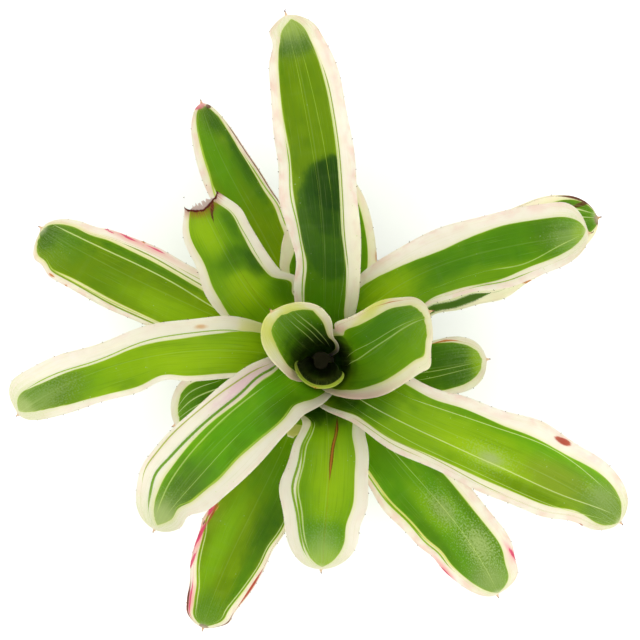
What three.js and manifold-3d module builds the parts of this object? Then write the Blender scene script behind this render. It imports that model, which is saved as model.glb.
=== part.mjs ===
// A neoregelia bromeliad lifted out of its pot: a rosette of strap leaves on one short stem.
//
// Every leaf is a separate piece. Its base clasps the stem as a sheath, the sheaths stand round
// each other as a tank that holds water, and above the tank the blades arch outwards. The stem is
// a woody dome that ends in a flat cut face, with its roots trimmed short and splayed round it.
//
// Millimetres, +Z up. The origin is the centre of the stem's cut face, which stands on the surface.
// A leaf has its own coordinates: s runs along its midrib from the stem to the tip, and t runs
// across it from -1 to 1, with +1 the edge on the left of someone who looks outwards along it.

import * as THREE from "three";
import { mergeVertices } from "three/addons/utils/BufferGeometryUtils.js";
import Module from "manifold-3d";

// ---- Driving dimensions -------------------------------------------------------------------------

const STEM_RADIUS = 19; // the widest part of the woody stem
const STEM_SHOULDER = 10; // height at which the lowest leaf is attached
const STEM_DOME = 28; // height of the dome above the shoulder, on which the leaves grow
const STEM_FOOT_RADIUS = 15; // the flat cut face
const STEM_CLEARANCE = 1; // gap between the stem and the leaf bases

const LEAF_BASE_THICKNESS = 1.1;
const LEAF_MIDRIB_THICKNESS = 1.0;
const LEAF_EDGE_THICKNESS = 0.65;
const TIP_POINT = 2.5; // the small stiff point at the end of each leaf

const ROOT_COUNT = 9;
const ROOT_RADIUS = 1.5;
const ROOT_REACH = 40; // from the stem's axis to the cut end of a root, on average
const ROOT_SPREAD = 0.16; // how much the roots differ in reach, and bend aside, in radians

// The leaves from the innermost and youngest to the outermost and oldest, which is also their
// order from top to bottom where they cross. Angles are in degrees and lengths in millimetres.
//   turn     direction in which the leaf leaves the stem, counterclockwise from +X
//   length   along the midrib, from the stem to the tip
//   width    across the widest part of the blade, laid flat
//   rise     slope of the blade where it leaves the tank, above the horizontal
//   tip      slope at the tip, negative where it droops
//   sweep    how far the blade has curled sideways halfway along it and at its tip,
//            counterclockwise as seen from above
//   channel  radius of the blade's hollow cross-section
//   taper    length over which the left and the right edge round in to the tip
//   left     bulges of the left edge: how far along the leaf, how far out, and over what length
//   right    the same for the right edge
//   sheath   length of the clasping base, where it isn't worked out from the leaf's age
//   torn     depth of the bite out of a tip that has died back
const LEAVES = [
  {
    turn: 256, length: 58, width: 36, rise: 86, tip: 77,
    sweep: [0, 0], channel: 13, taper: [16, 16], sheath: 40,
  },
  {
    turn: 134, length: 91, width: 49, rise: 66, tip: 40,
    sweep: [-1, -10], channel: 19, taper: [62, 12],
    left: [[52, 1, 12], [86, 2, 8]],
    right: [[52, -2, 12], [82, 1, 8]],
  },
  {
    turn: 6, length: 110, width: 50, rise: 52, tip: 18,
    sweep: [38, 13], channel: 30, taper: [46, 24],
    left: [[66, 3, 10], [102, -3, 5]],
    right: [[94, 2, 5], [102, -3, 5]],
  },
  {
    turn: 212.5, length: 166, width: 46, rise: 46, tip: -32,
    sweep: [13, 30], channel: 40, taper: [80, 47],
    left: [[56, -1.5, 10], [114, 1.5, 14], [147, -5.5, 6]],
    right: [[67, 1.5, 10], [138, 2, 8]],
  },
  {
    turn: 86, length: 224, width: 39, rise: 44, tip: -16,
    sweep: [11, 19], channel: 44, taper: [78, 50],
    left: [[93, -2.5, 14], [132, 2.5, 14], [209, -2.5, 6], [218, 5, 4]],
    right: [[84, 1.5, 20], [216, 1.5, 6]],
  },
  {
    turn: 329, length: 215, width: 44, rise: 40, tip: -28,
    sweep: [8, -9], channel: 50, taper: [44, 80],
    left: [[95, -2, 14], [151, 2.5, 14]],
    right: [[81, 1.5, 14], [189, -3.5, 12]],
  },
  {
    turn: 169, length: 203, width: 34, rise: 38, tip: -34,
    sweep: [24, 47], channel: 46, taper: [80, 16],
    left: [[115, -3, 10]],
    right: [[75, 3, 24], [145, -3.5, 20]],
  },
  {
    turn: 50.5, length: 190, width: 38, rise: 34, tip: -14,
    sweep: [-33, -41], channel: 46, taper: [18, 48],
    right: [[98, -1.5, 8], [140, 2, 14]],
  },
  {
    turn: 276, length: 133, width: 46, rise: 34, tip: -28,
    sweep: [-11, -6], channel: 55, taper: [43, 45],
    left: [[69, 1, 8], [105, -2.5, 8]],
    right: [[40, -18, 10], [54, -3, 8], [88, 3, 10]],
  },
  {
    turn: 137, length: 139, width: 44, rise: 31, tip: -10,
    sweep: [-18, -20], channel: 48, taper: [80, 80], torn: 6,
    left: [[99, -2.5, 10], [130, -5, 9]],
    right: [[64, 6.5, 6], [117, 3, 8]],
  },
  {
    turn: 247, length: 53, width: 34, rise: 22, tip: 8,
    sweep: [2, 4], channel: 50, taper: [30, 30],
  },
  {
    turn: 355, length: 103, width: 31, rise: 24, tip: -14,
    sweep: [14, 12], channel: 52, taper: [21, 19],
  },
  {
    turn: 84, length: 122, width: 58, rise: 25, tip: -10,
    sweep: [10, -2], channel: 60, taper: [66, 80],
    left: [[65, 2, 6], [88, -3, 10]],
  },
  {
    turn: 307, length: 172, width: 44, rise: 22, tip: -24,
    sweep: [3, -10], channel: 56, taper: [22, 80],
    left: [[158, -3, 8]],
    right: [[92, 1.5, 12], [130, -2, 8]],
  },
  {
    turn: 156, length: 179, width: 42, rise: 20, tip: -14,
    sweep: [-2, -7], channel: 56, taper: [15, 75],
    left: [[168, -3.5, 5]],
    right: [[153, -2, 8]],
  },
  {
    turn: 36, length: 180, width: 41, rise: 17, tip: -12,
    sweep: [-12, -19], channel: 60, taper: [34, 64],
    right: [[73, -4, 10], [114, 4, 12]],
  },
  {
    turn: 246, length: 167, width: 44, rise: 16, tip: -18,
    sweep: [-2, 8], channel: 56, taper: [80, 74],
    left: [[108, -1.5, 8], [160, 5.5, 6]],
    right: [[108, 2, 6], [144, -2, 8], [162, 3.5, 5]],
  },
  {
    turn: 113, length: 163, width: 33, rise: 14, tip: -14,
    sweep: [6, -9], channel: 56, taper: [80, 80],
    right: [[91, 1.5, 8]],
  },
  {
    turn: 202, length: 90, width: 40, rise: 11, tip: -18,
    sweep: [2, 8], channel: 60, taper: [30, 30],
    right: [[76, 3, 12]],
  },
];

// ---- Small helpers ------------------------------------------------------------------------------

const radians = THREE.MathUtils.degToRad;
const mix = THREE.MathUtils.lerp;
const smooth = (x, from, to) => THREE.MathUtils.smoothstep(x, from, to);
const clamp = THREE.MathUtils.clamp;

// ---- The leaf's form ----------------------------------------------------------------------------

// What changes steadily with a leaf's age is given for the youngest leaf and for the oldest.
const PLACE = [11, 90]; // where on the stem's dome it grows, in degrees down from the top
const CROWDING = 0.25; // how much closer together the older leaves grow than the younger
const SHEATH = [48, 50]; // length of the clasping base
const LEAVING = [80, 34]; // slope at which the sheath leaves the stem
const WALL = [83, 58]; // slope of the sheath higher up, where it is a wall of the tank

// Where one form turns into the next along a leaf, as parts of the sheath's length.
const TURNING_UP = [0, 0.45]; // the midrib, from leaving the stem to the wall of the tank
const ARCHING_OUT = [0.7, 1.4]; // the midrib, from the wall to the blade
const NARROWING = [0.4, 1.25]; // the width, from the sheath's to the blade's
const FREEING = [0.6, 1.4]; // the section, from round the stem to the blade's own channel

const CLASP = radians(105); // half of the angle that a sheath wraps round the stem, near the stem
const CLASP_BLEND = 3; // how sharply the clasping part gives way to the full width
const SHEATH_SPREAD = 0.8; // a wide sheath's half-width, as a part of the blade's width
const BLADE_NECK = 0.8; // width where the blade leaves the tank, as a part of its full width
const FULL_WIDTH = 0.6; // how far along the blade it is widest
const TIP_ROUNDNESS = 2.3;
const ARCH = 1.2; // above 1, the blade bends down more towards its tip
const FLATTENING = 1.5; // how much the channel opens out from the tank to the tip
const TIP_LOSS = 9; // length that a torn leaf has lost
const BITE_SHAPE = 0.7; // below 1, the bite is blunt
const POINT_SLIMNESS = 0.15; // half-width at the very end of the point
const RUFFLE = 1.2; // how far the edges wave up and down
const RUFFLE_LENGTH = 42;
const RUFFLE_SHIFT = [2.4, 2.1]; // of the waves from one leaf to the next, and on its two edges
const RUFFLE_END = 30; // length over which the waves die out towards the tip
const STEP = 1; // spacing of the points that the midrib is summed over

// How a leaf of this age, from 0 to 1, grows from the stem.
function growth(age) {
  const down = radians(mix(...PLACE, age + CROWDING * age * (1 - age)));
  return {
    radius: STEM_RADIUS * Math.sin(down) + STEM_CLEARANCE,
    height: STEM_SHOULDER + STEM_DOME * Math.cos(down),
    sheath: mix(...SHEATH, age),
    leaving: radians(mix(...LEAVING, age)),
    wall: radians(mix(...WALL, age)),
  };
}

// The leaf's middle surface: where it is at (s, t), and the direction that its upper face looks.
function leafForm(leaf, index) {
  const place = growth(index / (LEAVES.length - 1));
  const { radius, height, leaving, wall } = place;
  const { length, width, channel, sheath = place.sheath } = leaf;
  const end = length + TIP_POINT;
  const stage = (s, [from, to]) => smooth(s, from * sheath, to * sheath);
  const blade = (s) => Math.max(0, s - sheath) / (length - sheath);
  const [halfway, whole] = leaf.sweep;
  const curl = (b) => (4 * halfway - whole) * b + (2 * whole - 4 * halfway) * b * b;
  const heading = (s) => radians(leaf.turn + curl(blade(s)));
  const slope = (s) => {
    const inTank = mix(leaving, wall, stage(s, TURNING_UP));
    const inBlade = radians(mix(leaf.rise, leaf.tip, blade(s) ** ARCH));
    return mix(inTank, inBlade, stage(s, ARCHING_OUT));
  };

  const turn = radians(leaf.turn);
  const step = new THREE.Vector3(radius * Math.cos(turn), radius * Math.sin(turn), height);
  const midrib = [step.clone()];
  for (let s = STEP / 2; s < end + STEP; s += STEP) {
    step.x += STEP * Math.cos(slope(s)) * Math.cos(heading(s));
    step.y += STEP * Math.cos(slope(s)) * Math.sin(heading(s));
    step.z += STEP * Math.sin(slope(s));
    midrib.push(step.clone());
  }
  const along = (s) => {
    const i = Math.floor(s / STEP);
    return midrib[i].clone().lerp(midrib[i + 1], s / STEP - i);
  };

  const halfWidth = (s, side) => {
    const swell = mix(BLADE_NECK, 1, Math.sin((Math.PI / 2) * clamp(blade(s) / FULL_WIDTH, 0, 1)));
    const taper = leaf.taper[side > 0 ? 0 : 1];
    const rounding = Math.sqrt(1 - (1 - clamp((length - s) / taper, 0, 1)) ** TIP_ROUNDNESS);
    const bulges = (side > 0 ? leaf.left : leaf.right) ?? [];
    const bulge = bulges.reduce((sum, [at, out, over]) => sum + out * Math.exp(-(((s - at) / over) ** 2)), 0);
    const strap = ((width / 2) * swell + bulge) * rounding;
    const clasp = CLASP * Math.hypot(along(s).x, along(s).y);
    const sheathing = (clasp ** -CLASP_BLEND + (SHEATH_SPREAD * width) ** -CLASP_BLEND) ** (-1 / CLASP_BLEND);
    const spine = clamp((end - s) / TIP_POINT, POINT_SLIMNESS, 1);
    return Math.max(mix(sheathing, strap, stage(s, NARROWING)), spine);
  };

  const point = (s, t) => {
    const p = along(s);
    const a = slope(s);
    const b = heading(s);
    const across = t * halfWidth(s, Math.sign(t));

    const from = Math.hypot(p.x, p.y);
    const round = Math.atan2(p.y, p.x) + across / from;
    const outward = new THREE.Vector3(Math.cos(round), Math.sin(round), 0);
    const onTank = new THREE.Vector3(0, 0, p.z).addScaledVector(outward, from);
    const inward = new THREE.Vector3(0, 0, Math.cos(a)).addScaledVector(outward, -Math.sin(a));

    const hollow = channel * mix(1, FLATTENING, blade(s));
    const bend = across / hollow;
    const left = new THREE.Vector3(-Math.sin(b), Math.cos(b), 0);
    const up = new THREE.Vector3(-Math.sin(a) * Math.cos(b), -Math.sin(a) * Math.sin(b), Math.cos(a));
    const onBlade = p.clone();
    onBlade.addScaledVector(left, hollow * Math.sin(bend));
    onBlade.addScaledVector(up, hollow * (1 - Math.cos(bend)));
    const upward = up.clone().multiplyScalar(Math.cos(bend)).addScaledVector(left, -Math.sin(bend));

    const free = stage(s, FREEING);
    const normal = inward.lerp(upward, free).normalize();
    const shift = RUFFLE_SHIFT[0] * index + RUFFLE_SHIFT[1] * Math.sign(t);
    const wave = Math.sin((2 * Math.PI * s) / RUFFLE_LENGTH + shift);
    const fade = free * (1 - smooth(s, length - RUFFLE_END, length)) * Math.abs(t) ** 3;
    return { place: onTank.lerp(onBlade, free).addScaledVector(normal, RUFFLE * wave * fade), normal };
  };

  const thickness = (s, t) => {
    const middle = mix(LEAF_BASE_THICKNESS, LEAF_MIDRIB_THICKNESS, smooth(s, 0, sheath));
    return mix(middle, LEAF_EDGE_THICKNESS, t * t);
  };

  // How far the blade reaches at t: to its tip, or to the bitten edge of one that has died back.
  const reach = (t) => (leaf.torn ? length - TIP_LOSS - leaf.torn * (1 - Math.abs(t)) ** BITE_SHAPE : end);

  return { reach, point, thickness };
}

// ---- The leaf's solid ---------------------------------------------------------------------------

const ROWS = 22;
const COLUMNS = 6;
const ROW_CROWDING = 1.25; // above 1, the rows lie closer together towards the tip

// A closed sheet: the upper face, the lower face and a narrow rim. Both faces are split into
// triangles along the same diagonals, so that they stay apart where the blade is waved.
function leafGeometry(leaf, index) {
  const form = leafForm(leaf, index);
  const upper = [];
  const lower = [];
  for (let i = 0; i <= ROWS; i++) {
    for (let j = 0; j <= COLUMNS; j++) {
      const t = (2 * j) / COLUMNS - 1;
      const s = form.reach(t) * (1 - (1 - i / ROWS) ** ROW_CROWDING);
      const { place, normal } = form.point(s, t);
      const half = form.thickness(s, t) / 2;
      upper.push(place.clone().addScaledVector(normal, half));
      lower.push(place.clone().addScaledVector(normal, -half));
    }
  }
  const under = upper.length;
  const at = (i, j) => i * (COLUMNS + 1) + j;
  const indices = [];
  const rim = (a, b) => indices.push(a, b, b + under, a, b + under, a + under);
  for (let i = 0; i < ROWS; i++) {
    for (let j = 0; j < COLUMNS; j++) {
      const [a, b, c, d] = [at(i, j), at(i + 1, j), at(i + 1, j + 1), at(i, j + 1)];
      indices.push(a, b, c, a, c, d);
      indices.push(c + under, b + under, a + under, d + under, c + under, a + under);
    }
    rim(at(i + 1, 0), at(i, 0));
    rim(at(i, COLUMNS), at(i + 1, COLUMNS));
  }
  for (let j = 0; j < COLUMNS; j++) {
    rim(at(0, j), at(0, j + 1));
    rim(at(ROWS, j + 1), at(ROWS, j));
  }
  const corners = [...upper, ...lower].flatMap((corner) => corner.toArray());
  const geometry = new THREE.BufferGeometry();
  geometry.setAttribute("position", new THREE.Float32BufferAttribute(corners, 3));
  geometry.setIndex(indices);
  return geometry;
}

// ---- The stem and its roots ---------------------------------------------------------------------

const STEM_SIDES = 36;
const ROOT_SIDES = 8;
const ROOT_STEPS = 10;
const DOME_STEP = 7.5; // degrees between the rings of points on the dome
const SCAR_COUNT = 3; // rings that fallen leaves have left on the stem
const SCAR_RADII = [16.5, 18.5]; // of the lowest ring and of the highest
const SCAR_DEPTH = 0.9;
const SCAR_SPREAD = 0.55; // how much lower a ring is at its widest than at its narrowest, in spacings
const SCAR_START = 0.35; // where the lowest ring is widest, in spacings above the cut face
const ROOT_BURIED = 5; // how deep a root starts inside the stem's foot
const ROOT_STRAIGHT = 4; // how far it runs straight out of the stem
const ROOT_SINKING = [0.45, 0.75]; // where it is halfway down, and lies, as parts of its reach
const ROOT_BEND = [1, 1.5, 1.2]; // how far it has bent aside there and at its end
const ROOT_LIFT = 1.1; // height of a lying root's middle, in root radii

// Half of the stem's outline, from the middle of the cut face up to the growing point.
function stemProfile() {
  const profile = [new THREE.Vector2(0, 0), new THREE.Vector2(STEM_FOOT_RADIUS, 0)];
  const ring = STEM_SHOULDER / SCAR_COUNT;
  for (let i = 0; i < SCAR_COUNT; i++) {
    const radius = mix(...SCAR_RADII, i / (SCAR_COUNT - 1));
    profile.push(new THREE.Vector2(radius, (i + SCAR_START) * ring));
    profile.push(new THREE.Vector2(radius - SCAR_DEPTH, (i + SCAR_START + SCAR_SPREAD) * ring));
  }
  for (let angle = 0; angle < 90; angle += DOME_STEP) {
    const [across, up] = [STEM_RADIUS * Math.cos(radians(angle)), STEM_DOME * Math.sin(radians(angle))];
    profile.push(new THREE.Vector2(across, STEM_SHOULDER + up));
  }
  profile.push(new THREE.Vector2(0, STEM_SHOULDER + STEM_DOME));
  return profile;
}

// A wiry root: out of the stem's side, down to the surface and along it, cut off square. The sines
// make each root a little different from the next.
function rootGeometry(i) {
  const direction = (2 * Math.PI * (i + 0.25 * Math.sin(5 * i))) / ROOT_COUNT;
  const reach = ROOT_REACH * (1 + ROOT_SPREAD * Math.sin(2.3 * i));
  const start = 0.5 * STEM_SHOULDER + ROOT_RADIUS * Math.cos(3 * i);
  const turn = ROOT_SPREAD * Math.sin(4 * i + 1);
  const lying = ROOT_LIFT * ROOT_RADIUS;
  const at = (radius, height, bend) =>
    new THREE.Vector3(radius * Math.cos(direction + bend), radius * Math.sin(direction + bend), height);
  const path = new THREE.CatmullRomCurve3([
    at(STEM_FOOT_RADIUS - ROOT_BURIED, start, 0),
    at(STEM_FOOT_RADIUS + ROOT_STRAIGHT, start, 0),
    at(mix(STEM_FOOT_RADIUS, reach, ROOT_SINKING[0]), 0.5 * (start + ROOT_RADIUS), ROOT_BEND[0] * turn),
    at(mix(STEM_FOOT_RADIUS, reach, ROOT_SINKING[1]), lying, ROOT_BEND[1] * turn),
    at(reach, lying, ROOT_BEND[2] * turn),
  ]);
  const section = new THREE.Shape();
  section.absarc(0, 0, ROOT_RADIUS, 0, 2 * Math.PI);
  const curveSegments = ROOT_SIDES / 2;
  return new THREE.ExtrudeGeometry(section, {
    steps: ROOT_STEPS,
    curveSegments,
    bevelEnabled: false,
    extrudePath: path,
  });
}

const manifold = await Module();
manifold.setup();

function solid(geometry) {
  geometry.deleteAttribute("normal");
  geometry.deleteAttribute("uv");
  const merged = mergeVertices(geometry, 1e-4);
  const vertProperties = merged.getAttribute("position").array;
  const triVerts = Uint32Array.from(merged.getIndex().array);
  return new manifold.Manifold(new manifold.Mesh({ numProp: 3, vertProperties, triVerts }));
}

function stemGeometry() {
  const lathe = new THREE.LatheGeometry(stemProfile(), STEM_SIDES);
  lathe.rotateX(Math.PI / 2);
  let whole = solid(lathe);
  for (let i = 0; i < ROOT_COUNT; i++) whole = whole.add(solid(rootGeometry(i)));
  const { vertProperties, triVerts } = whole.getMesh();
  const geometry = new THREE.BufferGeometry();
  geometry.setAttribute("position", new THREE.BufferAttribute(vertProperties, 3));
  geometry.setIndex(new THREE.BufferAttribute(triVerts, 1));
  return geometry;
}

// ---- Assembly -----------------------------------------------------------------------------------

const leafGreen = new THREE.MeshStandardMaterial({ color: 0x5f9420, roughness: 0.42, metalness: 0 });
const stemBrown = new THREE.MeshStandardMaterial({ color: 0x7a5f3e, roughness: 0.85, metalness: 0 });

const plant = new THREE.Group();

const stem = new THREE.Mesh(stemGeometry(), stemBrown);
stem.name = "stem";
plant.add(stem);

LEAVES.forEach((leaf, index) => {
  const mesh = new THREE.Mesh(leafGeometry(leaf, index), leafGreen);
  mesh.name = `leaf_${String(index + 1).padStart(2, "0")}`;
  plant.add(mesh);
});

export default plant;
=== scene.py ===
"""A neoregelia bromeliad lifted out of its pot: its stem and roots, its leaves, and the light it is seen in.

Metres, +Z up, with the origin in the middle of the stem's cut face. Sizes are written in millimetres
and become metres where a mesh is made. A leaf has its own coordinates: s runs in millimetres along its
midrib from the stem to the tip, and t across it from -1 to 1, with +1 the edge on the left of someone
who looks outwards along it.
"""

import math

import bpy
import numpy as np
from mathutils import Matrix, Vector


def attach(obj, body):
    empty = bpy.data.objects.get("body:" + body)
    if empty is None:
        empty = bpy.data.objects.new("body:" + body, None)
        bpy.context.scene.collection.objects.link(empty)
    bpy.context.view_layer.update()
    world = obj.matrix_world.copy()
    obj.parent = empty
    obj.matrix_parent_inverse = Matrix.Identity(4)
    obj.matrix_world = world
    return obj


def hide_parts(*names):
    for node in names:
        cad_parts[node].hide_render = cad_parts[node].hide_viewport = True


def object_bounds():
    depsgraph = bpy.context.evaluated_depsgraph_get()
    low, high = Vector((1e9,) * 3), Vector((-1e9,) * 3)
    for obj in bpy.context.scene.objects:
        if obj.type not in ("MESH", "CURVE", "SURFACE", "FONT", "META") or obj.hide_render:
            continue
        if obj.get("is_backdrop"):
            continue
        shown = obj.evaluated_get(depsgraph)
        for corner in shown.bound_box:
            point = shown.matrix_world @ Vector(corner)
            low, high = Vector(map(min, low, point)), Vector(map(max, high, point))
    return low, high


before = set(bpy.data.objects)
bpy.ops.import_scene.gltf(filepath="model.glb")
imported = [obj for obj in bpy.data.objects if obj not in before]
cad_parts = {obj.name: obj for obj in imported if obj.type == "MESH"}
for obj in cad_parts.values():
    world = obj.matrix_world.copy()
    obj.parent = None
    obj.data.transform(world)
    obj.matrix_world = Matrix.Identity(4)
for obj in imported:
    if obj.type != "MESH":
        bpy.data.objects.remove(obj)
cad_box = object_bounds()

# ---- Stem ---------------------------------------------------------------------------------------
# A short woody stem, two fingers thick, with a domed growing top that the leaves hide and rings where
# older leaves have dropped off. Its foot was cut flat with a knife.

MM = 0.001
STEM_RADIUS = 19
STEM_SHOULDER = 10
STEM_DOME = 28
STEM_FOOT_RADIUS = 15
SCAR_COUNT = 3
SCAR_RADII = (16.5, 18.5)  # of the lowest ring and of the highest
SCAR_RING = ((-0.3, 0.25), (0, 0.4), (-0.9, 0.8), (-0.9, 0.92))  # mm out, and share of a ring's height
DOME_STEP = 5  # degrees
STEM_SIDES = 96
BARK_FIBRE = 1.2  # width of the fibres that fray round the stem
BARK_PATCH = 9  # size of its paler and darker patches
BARK_SHADES = (0.14, 0.4)  # fibres times patches where it is darkest, and palest
BARK_RELIEF = 0.6  # how far the fibres stand out
BARK_TANK_SHADE = (12, 22)  # heights between which painted shade of the tank darkens it


def colour(code):
    """An sRGB hex code as linear red, green, blue and alpha."""
    parts = [int(code[i : i + 2], 16) / 255 for i in (1, 3, 5)]
    return [p / 12.92 if p <= 0.04045 else ((p + 0.055) / 1.055) ** 2.4 for p in parts] + [1]


def add(tree, kind, inputs=None, **settings):
    """Adds a shader node with its settings. inputs gives each socket, by its name or number, a value or a
    node to link to it."""
    new = tree.nodes.new("ShaderNode" + kind)
    for name, value in settings.items():
        setattr(new, name, value)
    for socket, value in (inputs or {}).items():
        if isinstance(value, bpy.types.Node):
            value = value.outputs[0]
        if isinstance(value, bpy.types.NodeSocket):
            tree.links.new(value, new.inputs[socket])
        else:
            new.inputs[socket].default_value = value
    return new


def new_material(name):
    """An empty node material, with its tree."""
    material = bpy.data.materials.new(name)
    material.use_nodes = True
    material.node_tree.nodes.clear()
    return material, material.node_tree


def make_piece(name, points, faces, materials, node, slot, smooth=True):
    """A mesh piece in millimetres that stands for a node, rides on the plant and takes the given materials.
    slot is not used.
    """
    mesh = bpy.data.meshes.new(name)
    mesh.from_pydata((np.asarray(points) * MM).tolist(), [], faces)
    mesh.validate()
    mesh.polygons.foreach_set("use_smooth", [smooth] * len(mesh.polygons))
    for material in materials:
        mesh.materials.append(material)
    piece = bpy.data.objects.new(name, mesh)
    bpy.context.collection.objects.link(piece)
    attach(piece, "root")
    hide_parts(node)
    return piece


def bark(name, pale, dark, lean):
    """Dry fibrous bark: matt and brown, with frayed fibres that run along lean and catch the light. Higher
    up, in the tank under the leaves, it is painted a dull olive as shade."""
    material, tree = new_material(name)
    place = add(tree, "TexCoord").outputs["Object"]
    stretched = add(tree, "Mapping", {"Vector": place, "Scale": lean})
    grain = {"Vector": stretched, "Scale": 1 / (BARK_FIBRE * MM), "Detail": 5, "Roughness": 0.7}
    fibres = add(tree, "TexNoise", grain)
    patches = add(tree, "TexNoise", {"Vector": place, "Scale": 1 / (BARK_PATCH * MM), "Detail": 3})
    both = add(tree, "Math", {0: fibres, 1: patches}, operation="MULTIPLY")
    shade = add(tree, "MapRange", {"Value": both, 1: BARK_SHADES[0], 2: BARK_SHADES[1]})
    dry = add(tree, "MixRGB", {"Fac": shade, "Color1": colour(dark), "Color2": colour(pale)})
    # Painted shade of the tank: from the shoulder up, under the leaves, the bark turns a dull dark olive.
    height = add(tree, "SeparateXYZ", {"Vector": place}).outputs["Z"]
    damp = add(tree, "MapRange", {"Value": height, 1: BARK_TANK_SHADE[0] * MM, 2: BARK_TANK_SHADE[1] * MM})
    skin = add(tree, "MixRGB", {"Fac": damp, "Color1": dry, "Color2": colour("#55532f")})
    bump = add(tree, "Bump", {"Height": fibres, "Strength": 0.8, "Distance": BARK_RELIEF * MM})
    wood = add(tree, "BsdfPrincipled", {"Base Color": skin, "Roughness": 0.85, "IOR": 1.5, "Normal": bump})
    add(tree, "OutputMaterial", {"Surface": wood})
    return material


def ring_faces(rings, sides, first=0):
    """Quads from each ring of points to the next, where the first ring starts at the point first."""
    at = lambda ring, k: first + ring * sides + k % sides
    corners = [(ring, k) for ring in range(rings - 1) for k in range(sides)]
    return [(at(ring, k), at(ring, k + 1), at(ring + 1, k + 1), at(ring + 1, k)) for ring, k in corners]


def revolve(profile, sides):
    """A closed solid from an outline of (radius, height) pairs that starts and ends on the axis."""
    rings = [p for p in profile if p[0] > 0]
    points = [(0, 0, profile[0][1]), (0, 0, profile[-1][1])]
    for radius, height in rings:
        for k in range(sides):
            angle = 2 * math.pi * k / sides
            points.append((radius * math.cos(angle), radius * math.sin(angle), height))
    last = len(points) - sides
    faces = [(0, 2 + (k + 1) % sides, 2 + k) for k in range(sides)]
    faces += ring_faces(len(rings), sides, 2)
    faces += [(1, last + k, last + (k + 1) % sides) for k in range(sides)]
    return points, faces


def stem_outline():
    """Half of the stem's outline, from the middle of the cut face up to the growing point."""
    outline = [(0, 0), (STEM_FOOT_RADIUS, 0)]
    for i, radius in enumerate(np.linspace(*SCAR_RADII, SCAR_COUNT)):
        outline += [(radius + out, (i + up) * STEM_SHOULDER / SCAR_COUNT) for out, up in SCAR_RING]
    for angle in range(0, 90, DOME_STEP):
        across = STEM_RADIUS * math.cos(math.radians(angle))
        outline.append((across, STEM_SHOULDER + STEM_DOME * math.sin(math.radians(angle))))
    return outline + [(0, STEM_SHOULDER + STEM_DOME)]


stem_bark = bark("fibrous_stem_bark", "#9a7c55", "#3b2a1a", (1, 1, 0.25))
make_piece("stem_bark", *revolve(stem_outline(), STEM_SIDES), [stem_bark], "stem", "stem")

# ---- Roots --------------------------------------------------------------------------------------
# Nine wiry roots that hold the plant rather than feed it. They grow out of the stem's side, come down
# to the surface and lie along it, cut off square when the plant was lifted.

ROOT_COUNT = 9
ROOT_RADIUS = 1.5
ROOT_REACH = 40
ROOT_SPREAD = 0.16  # how unevenly they reach out, and turn
ROOT_BURIED = 5  # how deep in the stem it starts
ROOT_STRAIGHT = 4  # how far it grows straight out
ROOT_SINKING = (0.45, 0.75)  # shares of the way out where it is half down, and down
ROOT_BEND = (1, 1.5, 1.2)  # how its sideways turn goes on there and at its end
ROOT_LIFT = 1.1  # height at which it lies, in radii
ROOT_TAPER = 0.12
ROOT_KNOTS = ((0.05, 23), (0.03, 61))  # how far it swells and shrinks along its length, and how often
ROOT_SIDES = 14
ROOT_STEPS = 60


def root_route(i):
    """Five points that the middle of root i runs through, from inside the stem to its cut end. The sines
    and the cosine only make the roots uneven."""
    direction = 2 * math.pi * (i + 0.25 * math.sin(5 * i)) / ROOT_COUNT
    reach = ROOT_REACH * (1 + ROOT_SPREAD * math.sin(2.3 * i))
    start = 0.5 * STEM_SHOULDER + ROOT_RADIUS * math.cos(3 * i)
    turn = ROOT_SPREAD * math.sin(4 * i + 1)
    lying = ROOT_LIFT * ROOT_RADIUS
    halfway, down = [STEM_FOOT_RADIUS + share * (reach - STEM_FOOT_RADIUS) for share in ROOT_SINKING]
    stops = [
        (STEM_FOOT_RADIUS - ROOT_BURIED, start, 0),
        (STEM_FOOT_RADIUS + ROOT_STRAIGHT, start, 0),
        (halfway, 0.5 * (start + ROOT_RADIUS), ROOT_BEND[0] * turn),
        (down, lying, ROOT_BEND[1] * turn),
        (reach, lying, ROOT_BEND[2] * turn),
    ]
    return np.array([(r * math.cos(direction + b), r * math.sin(direction + b), z) for r, z, b in stops])


def smooth_route(stops, steps):
    """Points along a smooth curve through the stops, and the direction of the curve at each."""
    ends = np.vstack([2 * stops[0] - stops[1], stops, 2 * stops[-1] - stops[-2]])
    line = []
    for u in np.linspace(0, len(stops) - 1 - 1e-9, steps + 1):
        k, f = int(u), u - int(u)
        a, b, c, d = ends[k : k + 4]
        bend, twist = 2 * a - 5 * b + 4 * c - d, 3 * b - a - 3 * c + d
        line.append(b + 0.5 * ((c - a) * f + bend * f**2 + twist * f**3))
    line = np.array(line)
    way = np.gradient(line, axis=0)
    return line, way / np.linalg.norm(way, axis=1, keepdims=True)


def tube(line, way, radii, sides):
    """A closed tube round a line, with flat ends."""
    side = np.cross(way, (0, 0, 1))
    side /= np.linalg.norm(side, axis=1, keepdims=True)
    up = np.cross(side, way)
    points = []
    for k in range(len(line)):
        for j in range(sides):
            angle = 2 * math.pi * j / sides
            points.append(line[k] + radii[k] * (side[k] * math.cos(angle) + up[k] * math.sin(angle)))
    faces = [(b, a, d, c) for a, b, c, d in ring_faces(len(line), sides)]
    faces.append(list(range(sides)))
    faces.append(list(range(len(points) - 1, len(points) - 1 - sides, -1)))
    return points, faces


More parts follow.
